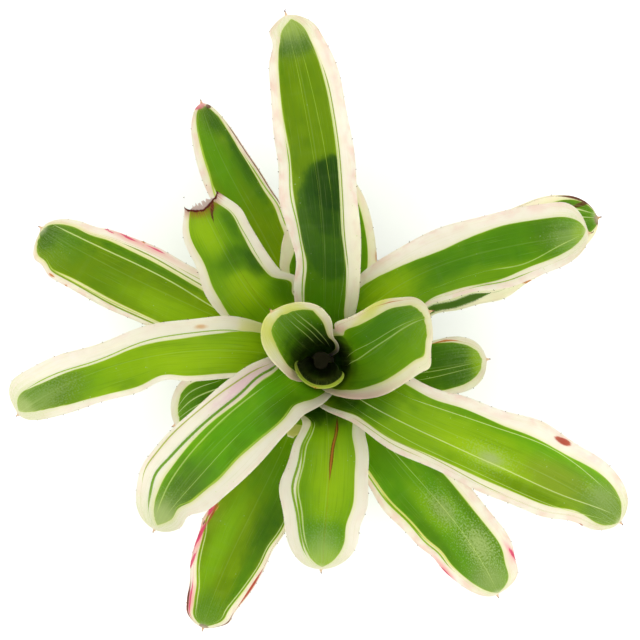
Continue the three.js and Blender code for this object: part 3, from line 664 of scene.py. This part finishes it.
class LeafForm:
    """Where a leaf's middle surface is at (s, t), which way its upper face looks, and how thick it is."""

    def __init__(self, leaf, index):
        self.leaf, self.index = leaf, index
        age = index / (len(LEAVES) - 1)
        down = math.radians(mix(*PLACE, age + CROWDING * age * (1 - age)))
        self.sheath = leaf.get("sheath", mix(*SHEATH, age))
        self.leaving, self.wall = math.radians(mix(*LEAVING, age)), math.radians(mix(*WALL, age))
        self.end = leaf["length"] + TIP_POINT
        radius, turn = STEM_RADIUS * math.sin(down) + STEM_CLEARANCE, math.radians(leaf["turn"])
        start = (radius * math.cos(turn), radius * math.sin(turn), STEM_SHOULDER + STEM_DOME * math.cos(down))
        s = np.arange(STEP / 2, self.end + STEP, STEP)
        slope, heading = self.slope(s), self.heading(s)
        steps = vectors(np.cos(slope) * np.cos(heading), np.cos(slope) * np.sin(heading), np.sin(slope))
        self.midrib = np.vstack([start, start + STEP * np.cumsum(steps, axis=0)])
        self.stations = STEP * np.arange(len(self.midrib))

    def blade(self, s):
        """How far along the blade s is: 0 up to the end of the sheath, 1 at the tip."""
        return np.maximum(0, s - self.sheath) / (self.leaf["length"] - self.sheath)

    def heading(self, s):
        half, whole = self.leaf["sweep"]
        b = self.blade(s)
        return np.radians(self.leaf["turn"] + (4 * half - whole) * b + (2 * whole - 4 * half) * b * b)

    def stage(self, s, ends):
        return smooth(s, ends[0] * self.sheath, ends[1] * self.sheath)

    def slope(self, s):
        in_tank = mix(self.leaving, self.wall, self.stage(s, TURNING_UP))
        in_blade = np.radians(mix(self.leaf["rise"], self.leaf["tip"], self.blade(s) ** ARCH))
        return mix(in_tank, in_blade, self.stage(s, ARCHING_OUT))

    def along(self, s):
        return vectors(*(np.interp(s, self.stations, self.midrib[:, k]) for k in range(3)))

    def half_width(self, s, side):
        """From the midrib to the left edge, where side is 0, or to the right one, where it is 1."""
        leaf = self.leaf
        swell = mix(BLADE_NECK, 1, np.sin(math.pi / 2 * np.clip(self.blade(s) / FULL_WIDTH, 0, 1)))
        left_over = np.clip((leaf["length"] - s) / leaf["taper"][side], 0, 1)
        rounding = np.sqrt(1 - (1 - left_over) ** TIP_ROUNDNESS)
        bulges = leaf["right" if side else "left"]
        bulge = sum(out * np.exp(-(((s - at) / over) ** 2)) for at, out, over in bulges)
        strap = (leaf["width"] / 2 * swell + bulge) * rounding
        clasp = CLASP * np.hypot(*np.moveaxis(self.along(s)[..., :2], -1, 0))
        spread = SHEATH_SPREAD * leaf["width"]
        sheathing = (clasp**-CLASP_BLEND + spread**-CLASP_BLEND) ** (-1 / CLASP_BLEND)
        point = np.clip((self.end - s) / TIP_POINT, POINT_SLIMNESS, 1)
        point = point * np.where(s > leaf["length"] - POINT_START, POINT_SHARE, 1)
        return np.maximum(mix(sheathing, strap, self.stage(s, NARROWING)), point)

    def across(self, s, t):
        return t * np.where(t > 0, self.half_width(s, 0), self.half_width(s, 1))

    def surface(self, s, t):
        """The point on the middle surface at (s, t) and the upper face's normal."""
        p, a, b, across = self.along(s), self.slope(s), self.heading(s), self.across(s, t)
        away = np.hypot(p[..., 0], p[..., 1])
        around = np.arctan2(p[..., 1], p[..., 0]) + across / away
        outward = vectors(np.cos(around), np.sin(around), 0)
        rise = vectors(0, 0, 1)
        on_tank = outward * away[..., None] + rise * p[..., 2:]
        inward = rise * np.cos(a)[..., None] - outward * np.sin(a)[..., None]

        hollow = self.leaf["channel"] * mix(1, FLATTENING, self.blade(s))
        bend = across / hollow
        left = vectors(-np.sin(b), np.cos(b), 0)
        up = vectors(-np.sin(a) * np.cos(b), -np.sin(a) * np.sin(b), np.cos(a))
        on_blade = p + left * (hollow * np.sin(bend))[..., None]
        on_blade += up * (hollow * (1 - np.cos(bend)))[..., None]
        upward = up * np.cos(bend)[..., None] - left * np.sin(bend)[..., None]

        free = self.stage(s, FREEING)
        normal = mix(inward, upward, free[..., None])
        normal /= np.linalg.norm(normal, axis=-1, keepdims=True)
        shift = RUFFLE_SHIFT[0] * self.index + RUFFLE_SHIFT[1] * np.sign(t)
        wave = np.sin(2 * math.pi * s / RUFFLE_LENGTH + shift)
        dying = 1 - smooth(s, self.leaf["length"] - RUFFLE_END, self.leaf["length"])
        lift = RUFFLE * wave * free * dying * np.abs(t) ** RUFFLE_INWARD
        return mix(on_tank, on_blade, free[..., None]) + normal * lift[..., None], normal

    def thickness(self, s, t):
        middle = mix(BASE_THICKNESS, MIDRIB_THICKNESS, smooth(s, 0, self.sheath))
        return mix(middle, EDGE_THICKNESS, t * t)

    def reach(self, t):
        """How far the blade reaches at t: to its tip, or to the bitten edge of one that has died back."""
        if not self.leaf["torn"]:
            return np.full_like(t, self.end)
        return self.leaf["length"] - TIP_LOSS - self.leaf["torn"] * (1 - np.abs(t)) ** BITE_SHAPE


LEAF_ROWS = 150
LEAF_COLUMNS = 40
ROW_CROWDING = 1.25  # above 1, the rows lie closer together towards the tip
RIM = 0.35  # how far a leaf's edge is rounded out, as a share of its thickness
PAPER = 4.5  # how far dead papery tissue still fills the bite in a torn tip
PAPER_WIDTH = 0.65  # share of the width that it spans
PAPER_EDGE = 0.8  # where its frayed edge is, as a share of how far it reaches
PAPER_FRAY = ((0.25, 31, 0), (0.2, 57, 1))  # how far that edge goes in and out, how often, and its shift


def leaf_sheet(form):
    """A leaf's closed sheet as rings round its section, from the base to the tip, with s, t and the side."""
    t = np.linspace(1, -1, LEAF_COLUMNS + 1)
    rows = 1 - (1 - np.linspace(0, 1, LEAF_ROWS + 1)) ** ROW_CROWDING
    reach = form.reach(t)
    if form.leaf["torn"]:
        fill = np.clip(1 - (t / PAPER_WIDTH) ** 2, 0, 1)
        fray = sum((far * np.sin(often * t + shift) for far, often, shift in PAPER_FRAY), PAPER_EDGE)
        reach = reach + PAPER * fill * fray
    s = rows[:, None] * reach[None, :]
    t = np.broadcast_to(t, s.shape)
    place, normal = form.surface(s, t)
    half = form.thickness(s, t)[..., None] / 2
    rims = []
    for edge, inner in ((0, 1), (-1, -2)):
        out = place[:, edge] - place[:, inner]
        out /= np.maximum(np.linalg.norm(out, axis=-1, keepdims=True), 1e-6)
        rims.append((place[:, edge] + out * RIM * EDGE_THICKNESS)[:, None])
    upper, lower = place + normal * half, place - normal * half
    rings = np.concatenate([upper, rims[1], lower[:, ::-1], rims[0]], axis=1)
    ring_s, ring_t = [np.concatenate([v, v[:, -1:], v[:, ::-1], v[:, :1]], axis=1) for v in (s, t)]
    top = LEAF_COLUMNS + 1
    count = 2 * top + 2
    ring_up = np.zeros_like(ring_s)
    ring_up[:, :top] = 1
    at = lambda i, j: i * count + j % count
    faces = ring_faces(LEAF_ROWS + 1, count)
    for i in (0, LEAF_ROWS):
        cap = [(at(i, top - 1), at(i, top), at(i, top + 1)), (at(i, -1), at(i, 0), at(i, 2 * top))]
        for j in range(LEAF_COLUMNS):
            cap.append((at(i, j), at(i, j + 1), at(i, 2 * top - j - 1), at(i, 2 * top - j)))
        faces += cap if i else [face[::-1] for face in cap]
    return rings.reshape(-1, 3), faces, ring_s.ravel(), ring_t.ravel(), ring_up.ravel()


# Each finish is the colour that the skin sends back and the colour of the light that comes through it.
FINISHES = {
    "cream": ("#eae3de", "#faf5ee"),
    "ivory": ("#ece6d3", "#faf6e6"),
    "butter": ("#dcd690", "#f4eea4"),
    "blush": ("#dcb6b2", "#f4d6d2"),
    "green": ("#33640c", "#c0e030"),
    "fresh": ("#3f700d", "#cee634"),
    "moss": ("#3a5a07", "#aec618"),
    "cool": ("#2c640d", "#aee038"),
    "dark": ("#2b5a0c", "#9ccb28"),
    # bright and deep are the green's own lighter and darker tone, and in clouds also painted light and
    # painted shade.
    "bright": ("#4e8010", "#e0f23c"),
    "deep": ("#234d0c", "#94bc28"),
    # shaded, dim and gloom are painted shade, from light to darkest.
    "shaded": ("#1c420c", "#6f9820"),
    "dim": ("#193e0c", "#61871e"),
    "gloom": ("#16380c", "#54781c"),
    "lime": ("#7f9c30", "#e4f080"),
    "pale": ("#a8bc6c", "#ecf4b0"),
    "stripe": ("#c4cc98", "#f4f8c8"),
    "olive": ("#7c8a3c", "#cfd670"),
    "crescent": ("#8a9640", "#dce878"),
    "sulphur": ("#c6c850", "#f0f078"),
    # Painted shade down in the tank, the darkest first.
    "deep_tank_shade": ("#1c220e", "#3a4818"),
    "damp": ("#4e5630", "#8a9646"),
    # The next three are silvery scales together with painted sheen.
    "hazy": ("#5a7838", "#c1cd3b"),
    "grey_scales_and_sheen": ("#46683a", "#98b335"),
    "frosted": ("#84947a", "#d4dc9a"),
    "lilac": ("#d9b4c8", "#f2d4e4"),
    "pink": ("#e08aa0", "#ffb4c4"),
    "magenta": ("#b8366c", "#f06a9a"),
    "red": ("#842a22", "#d86a50"),
    "tan": ("#c08a50", "#ecc080"),
    "brown": ("#a05a22", "#e09a50"),
    "burnt": ("#48201a", "#8a4032"),
    # silver is the scales' own colour; at the tip and in hazes it also stands for painted sheen.
    "silver": ("#b0ba94", "#dce8a8"),
    "paper": ("#c8b8b2", "#dcccc6"),
}

LINE_END = 16  # mm over which a line tapers to a hairline
LINE_TAPER = 1.5  # how much sooner it reaches its full width
HAIRLINE = 0.03  # half the width of a hairline, too fine to see
LINE_LIMIT = 20  # half widths from a line beyond which nothing is told apart
ARC_POINTS = 30  # points along each edge from which the margin round the tip is measured


def curve_through(stops, s):
    """A smooth curve through the stops, each where along the leaf and how much."""
    at, much = np.array(stops, float).T
    lean = np.gradient(much, at)
    k = np.clip(np.searchsorted(at, s) - 1, 0, len(at) - 2)
    gap = at[k + 1] - at[k]
    u = np.clip((s - at[k]) / gap, 0, 1)
    ends = much[k] * (1 + 2 * u) * (1 - u) ** 2 + much[k + 1] * (3 - 2 * u) * u**2
    return ends + gap * (lean[k] * u * (1 - u) ** 2 - lean[k + 1] * (1 - u) * u**2)


def leaf_readings(form, s, t):
    """What the skin material reads at each point: distances in millimetres, and each mark's own reach."""
    leaf = form.leaf
    across = form.across(s, t)
    inside = {"left": form.half_width(s, 0) - across, "right": form.half_width(s, 1) + across, "mid": across}
    margins = [inside[side] - curve_through(leaf["cream_" + side], s) for side in ("left", "right")]
    if not leaf["torn"]:
        start, full = [leaf["length"] - far for far in leaf["tip_arc"]]
        for side in (1, -1):
            for rim in np.linspace(start, form.end, ARC_POINTS):
                wide = leaf["cream_tip"] * smooth(rim, start, full)
                margins.append(np.hypot(s - rim, across - form.across(rim, side)) - wide)
    readings = {
        "along": s,
        "across": t * leaf["width"] / 2,
        "to_edge": np.minimum(inside["left"], inside["right"]),
        "to_tip": form.reach(t) - s,
        "to_point": np.hypot(form.end - s, across),
        "into_green": np.min(margins, axis=0),
    }
    marks = {}
    for shape in ("cloud", "shade", "tint", "haze", "line", "scar"):
        for finish, *place in leaf[shape + "s"]:
            if shape == "line":
                edge, width, *stops = place
                left_over = np.minimum(s - stops[0][0], stops[-1][0] - s) / LINE_END
                half = np.maximum(width / 2 * np.clip(LINE_TAPER * left_over, 0, 1), HAIRLINE)
                reach = np.clip((inside[edge] - curve_through(stops, s)) / half, -LINE_LIMIT, LINE_LIMIT)
            else:
                middle, side, long, wide = place
                reach = np.hypot((s - middle) / long, (across - side) / wide)
            mark = "mark_%d" % len(marks)
            readings[mark] = reach
            marks[mark] = (finish, shape)
    return readings, marks


SPECK_GAP = 3.5  # mm from one white speck to the next
LET_THROUGH = 0.72  # share of the light that the flesh passes on
GRAIN_SHIFT = 3  # how far apart in the noise two grains are taken
LEAF_SHIFT = 7.0  # the same for two leaves, so that no two leaves look alike
WORN = {1: 0.3, 2: 0.7, 3: 0.32, 4: 0.44}  # patches where the wax is whole and worn, and its roughness there
RELIEF = 0.25  # mm that the grains below stand out
RAISED = (("dents", 2.5), ("scales", 0.5))  # and how much, beside the ribs

# The skin's grains: their size in millimetres across and along the leaf, and how finely they break up.
# Real scales are a fifth of a millimetre wide, too fine to show, and are drawn four to five times
# as coarse.
GRAINS = {
    "fibres": (0.9, 40, 3),
    "threads": (0.4, 30, 3),
    "clouds": (14, 30, 2),
    "patches": (5, 8, 3),
    "scales": (0.9, 1.1, 1),
    "bands": (30, 5, 1),
    "bars": (9, 1.6, 2),
    "ribs": (0.8, 60, 1),
    "dents": (5, 9, 2),
}

# Where each thing shows on a leaf: what is read for it, the values at which it is nil and full, and where
# a grain roughens it, which one and by how much.
MASKS = {
    "green": ("into_green", 0.1, 0.5, "fibres", 0.9),
    "margin": ("into_green", 0.3, -0.3, "fibres", 0.9),
    "seam": ("into_green", -0.1, 0.15, "fibres", 0.9),
    "beside the green": ("into_green", -2.6, -0.2, "fibres", 0.9),
    "yellow fibres": ("fibres", 0.56, 0.7),
    "grey fibres": ("fibres", 0.45, 0.3),
    "edge": ("to_edge", 7, 0.3),
    "some patches": ("patches", 0.35, 0.7),
    "light clouds": ("clouds", 0.5, 0.78, "patches", 0.3),
    "dark clouds": ("clouds", 0.5, 0.22, "patches", 0.3),
    "dark fibres": ("fibres", 0.5, 0.75),
    "pale threads": ("threads", 0.58, 0.8),
    "midline": ("mid", 0.45, 0.15),
    "tip": ("to_point", 34, 5),
    "end": ("to_point", 7, 2, "fibres", 5),
    "silver fibres": ("fibres", 0.35, 0.65),
    "silver scales": ("scales", 0.5, 0.7),
    "silver bands": ("bands", 0.55, 0.75),
    "silver bars": ("bars", 0.3, 0.65),
    "underside": ("upper", 1, 0),
    "specks": ("speck", 0.12, 0.06),
    "speckled parts": ("clouds", 0.52, 0.62),
    "point": ("to_tip", 3, 2.3),
    "dark point": ("to_tip", 1, 0.4),
    "red fade": ("to_tip", 6, 1),
    "burnt rim": ("to_tip", 1.2, 0.6, "patches", 2.4),
    "paper": ("to_tip", 0, -0.5, "scales", 0.8),
}
# The same for each shape of a leaf's own marks, and then what it lies on, and how strongly.
SHAPES = {
    # A cloud: the green's own tone together with painted light and painted shade.
    "cloud": (1.5, 0.3, "patches", 0.7, "green", 0.85),
    # A shade: a sharp-edged painted shadow of a leaf that lies close behind.
    "shade": (1.1, 0.88, "patches", 0.3, "green", 0.8),
    "tint": (1.4, 0.2, "patches", 1.2, "margin", 0.7),
    # A haze: fine silvery scales together with painted sheen.
    "haze": (1.5, 0, "scales", 4, "green", 0.33),
    "line": (1.25, 0.7, "scales", 0.5, "all", 0.95),
    "scar": (1.1, 0.75, "patches", 0.9, "all", 0.9),
}


def leaf_skin(name, leaf, readings, marks):
    """The skin of a living leaf: smooth cuticle with a thin wax, semi-gloss. Light that comes through it
    glows yellow-green, and white where the margin has no green in it. Fibres run along it, and silvery
    scales dull it towards the tip and underneath; towards the tip they also carry painted sheen. Its
    marks add painted shade where other leaves lie behind or over it and in the tank, and painted light."""
    material, tree = new_material("skin_" + name)
    read = {}
    for reading in readings:
        read[reading] = add(tree, "Attribute", attribute_name=reading).outputs["Fac"]
    shift = LEAF_SHIFT * int(name[-2:])
    spot = add(tree, "CombineXYZ", {"X": read["across"], "Y": read["along"], "Z": shift})
    for k, (grain, (wide, long, detail)) in enumerate(GRAINS.items()):
        place = {"Vector": spot, "Location": (0, 0, GRAIN_SHIFT * k), "Scale": (1 / wide, 1 / long, 1)}
        scaled = add(tree, "Mapping", place)
        read[grain] = add(tree, "TexNoise", {"Vector": scaled, "Scale": 1, "Detail": detail})
    read["speck"] = add(tree, "TexVoronoi", {"Vector": spot, "Scale": 1 / SPECK_GAP})
    read["mid"] = add(tree, "Math", {0: read["across"]}, operation="ABSOLUTE")

    places = dict(MASKS)
    for mark, (finish, shape) in marks.items():
        if shape == "line":
            read[mark] = add(tree, "Math", {0: read[mark]}, operation="ABSOLUTE")
        places[mark] = (mark, *SHAPES[shape][:4])
    masks = {"all": 1}
    for mask, (reading, nil, full, *rough) in places.items():
        value, by = read[reading], 0
        if rough:
            grain, by = rough
            value = add(tree, "Math", {0: read[grain], 1: by, 2: value}, operation="MULTIPLY_ADD")
        ends = {"Value": value, 1: nil + by / 2, 2: full + by / 2}
        masks[mask] = add(tree, "MapRange", ends, interpolation_type="SMOOTHSTEP")

    # Each layer shows where two masks overlap, with a strength and a finish, and covers those before it.
    layers = [
        ("beside the green", "all", 0.6 * leaf["butter"], "butter"),
        ("yellow fibres", "all", 0.14, "butter"),
        ("grey fibres", "all", 0.12, "olive"),
        ("edge", "some patches", 0.6 * leaf["blush"], "blush"),
        ("seam", "all", 1, "lime"),
        ("green", "all", 1, leaf["flesh"]),
        ("light clouds", "green", 0.3, "bright"),
        ("dark clouds", "green", 0.45, "deep"),
    ]
    # A leaf's own marks, among them the painted light and shade of its clouds and shades.
    layers += [(mark, *SHAPES[shape][4:], finish) for mark, (finish, shape) in marks.items()]
    layers += [
        ("dark fibres", "green", 0.35, "deep"),
        ("pale threads", "green", 0.35, "pale"),
        ("midline", "green", 0.15, "pale"),
        # The silvery tip: fine scales together with painted sheen.
        ("tip", "silver fibres", 0.45 * leaf["frost"], "silver"),
        ("tip", "silver scales", 0.45 * leaf["frost"], "silver"),
        ("silver bands", "all", 0.03, "silver"),
        ("underside", "silver bars", 0.45, "silver"),
        ("specks", "speckled parts", 0.7, "silver"),
    ]
    if leaf["torn"]:
        layers += [("red fade", "silver fibres", 0.8, "red"), ("burnt rim", "all", 1, "burnt")]
        layers += [("paper", "all", 1, "paper")]
    else:
        base, end = leaf["point"]
        layers += [("end", "all", 0.5, leaf["margin"]), ("point", "all", 0.5, base)]
        layers += [("dark point", "all", 0.8, end)]

    skin, glow = [colour(code) for code in FINISHES[leaf["margin"]]]
    for mask, within, strength, finish in layers:
        seen, passed = [colour(code) for code in FINISHES[finish]]
        amount = add(tree, "Math", {0: masks[mask], 1: masks[within]}, operation="MULTIPLY")
        amount = add(tree, "Math", {0: amount, 1: strength}, operation="MULTIPLY")
        skin = add(tree, "MixRGB", {"Fac": amount, "Color1": skin, "Color2": seen})
        glow = add(tree, "MixRGB", {"Fac": amount, "Color1": glow, "Color2": passed})

    height = read["ribs"]
    for grain, much in RAISED:
        height = add(tree, "Math", {0: read[grain], 1: much, 2: height}, operation="MULTIPLY_ADD")
    bump = add(tree, "Bump", {"Height": height, "Strength": 0.4, "Distance": RELIEF * MM})
    dulled = add(tree, "MapRange", {"Value": read["patches"], **WORN})
    wax = {"Base Color": skin, "Roughness": dulled, "IOR": 1.45, "Specular IOR Level": 0.25, "Normal": bump}
    front = add(tree, "BsdfPrincipled", wax)
    back = add(tree, "BsdfTranslucent", {"Color": glow, "Normal": bump})
    both = add(tree, "MixShader", {0: LET_THROUGH, 1: front, 2: back})
    add(tree, "OutputMaterial", {"Surface": both})
    return material


forms = {name: LeafForm(PLAIN | leaf, index) for index, (name, leaf) in enumerate(LEAVES.items())}
for name, form in forms.items():
    points, faces, s, t, up = leaf_sheet(form)
    readings, marks = leaf_readings(form, s, t)
    readings["upper"] = up
    skin = leaf_skin(name, form.leaf, readings, marks)
    blade = make_piece(name.replace("leaf", "blade"), points, faces, [skin], name, "leaf")
    for reading, values in readings.items():
        stored = blade.data.attributes.new(reading, "FLOAT", "POINT")
        stored.data.foreach_set("value", np.ascontiguousarray(values, dtype=np.float32))

# ---- Spines -------------------------------------------------------------------------------------
# Small horny spines that grow from both edges of each leaf beyond its sheath. They are stiff and
# sharp, lean towards the leaf's tip, and stand unevenly, a centimetre or so apart.

SPINE_LENGTH = 0.9
SPINE_HALF = 0.35  # half its foot along the leaf's edge
SPINE_DEPTH = 0.25  # half its foot across the edge
SPINE_ROOTED = 0.1  # how far its foot is sunk in the edge
SPINE_LEAN = 0.7  # how far it leans on towards the tip
SPINE_SIZES = (0.4, 1.2)  # the shortest and the longest, in parts of the length
SPINE_GAP = 9
SPINE_GAPS = (0.7, 1.3)  # the narrowest and the widest, in parts of the gap
SPINE_ENDS = (4, 5)  # mm clear of the sheath, and of the tip
JUST_INSIDE = 0.97  # t of a point a little in from the edge, from which a spine points outwards


def towards(start, end):
    return (end - start) / np.linalg.norm(end - start)


def leaf_spines(form, chance):
    """Points and faces of the spines on both edges of a leaf."""
    points, faces = [], []
    on_leaf = lambda s, t: form.surface(np.array(s), np.array(t))
    for side in (1, -1):
        s = form.sheath + SPINE_ENDS[0]
        while s < form.leaf["length"] - SPINE_ENDS[1]:
            s += SPINE_GAP * chance.uniform(*SPINE_GAPS)
            here, normal = on_leaf(s, side)
            onward = towards(here, on_leaf(s + 1, side)[0])
            out = towards(on_leaf(s, JUST_INSIDE * side)[0], here)
            foot = here - out * SPINE_ROOTED
            along, up = onward * SPINE_HALF, normal * SPINE_DEPTH
            tip = here + (out + SPINE_LEAN * onward) * SPINE_LENGTH * chance.uniform(*SPINE_SIZES)
            first = len(points)
            points += [foot - along, foot + up, foot + along, foot - up, tip]
            faces += [(first + k, first + (k + 1) % 4, first + 4) for k in range(4)]
            faces.append((first + 3, first + 2, first + 1, first))
    return points, faces


# Hard dark brown horn with a dull gloss.
spine_horn, horn_tree = new_material("horny_spine")
horn = add(horn_tree, "BsdfPrincipled", {"Base Color": colour("#5a3420"), "Roughness": 0.5, "IOR": 1.55})
add(horn_tree, "OutputMaterial", {"Surface": horn})

chance = np.random.default_rng(7)  # seeded, so that every run gives the same spines
for name, form in forms.items():
    points, faces = leaf_spines(form, chance)
    if faces:
        make_piece(name.replace("leaf", "spines"), points, faces, [spine_horn], name, "leaf", smooth=False)

# ---- Floor, light and camera --------------------------------------------------------------------
# The plant stands on a pale matt floor in soft studio light, and is looked at from straight above.

FLOOR_EDGE = 3  # metres from its middle
CAMERA_PLACE = (-0.56, 24.08, 900)

corners = [(x * FLOOR_EDGE, y * FLOOR_EDGE, 0) for x, y in ((-1, -1), (1, -1), (1, 1), (-1, 1))]
floor_mesh = bpy.data.meshes.new("floor")
floor_mesh.from_pydata(corners, [], [(0, 1, 2, 3)])

# Matt white paint, which shows the plant's soft shadow and no reflection.
floor_paint, floor_tree = new_material("matt_white_floor")
floor_shader = add(floor_tree, "BsdfPrincipled", {"Base Color": colour("#f7f7f7"), "Roughness": 0.9})
add(floor_tree, "OutputMaterial", {"Surface": floor_shader})
floor_mesh.materials.append(floor_paint)
floor = bpy.data.objects.new("floor", floor_mesh)
bpy.context.collection.objects.link(floor)
floor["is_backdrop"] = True

world = bpy.data.worlds.new("white_room")
world.use_nodes = True
background = world.node_tree.nodes["Background"]
background.inputs["Color"].default_value = colour("#ffffff")
background.inputs["Strength"].default_value = 1.35
bpy.context.scene.world = world

for name, place, size, power in (
    ("soft_box_right", (0.9, -0.9, 1.1), 0.8, 8),
    ("soft_box_left", (-1.0, 0.5, 1.3), 1.2, 4),
):
    lamp = bpy.data.lights.new(name, "AREA")
    lamp.shape, lamp.size, lamp.energy = "DISK", size, power
    stand = bpy.data.objects.new(name, lamp)
    stand.location = place
    aim = -np.array(place)
    stand.rotation_euler = (math.atan2(math.hypot(aim[0], aim[1]), -aim[2]), 0, math.atan2(-aim[0], aim[1]))
    bpy.context.collection.objects.link(stand)

bpy.context.scene.view_settings.view_transform = "Standard"

camera_data = bpy.data.cameras.new("camera")
camera_data.lens, camera_data.sensor_width = 84.375, 36
camera = bpy.data.objects.new("camera", camera_data)
camera.location = [along * MM for along in CAMERA_PLACE]
bpy.context.collection.objects.link(camera)
bpy.context.scene.camera = camera

boxes = {"cad": cad_box, "visual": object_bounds()}
size = {name: [[float(value) for value in corner] for corner in box] for name, box in boxes.items()}
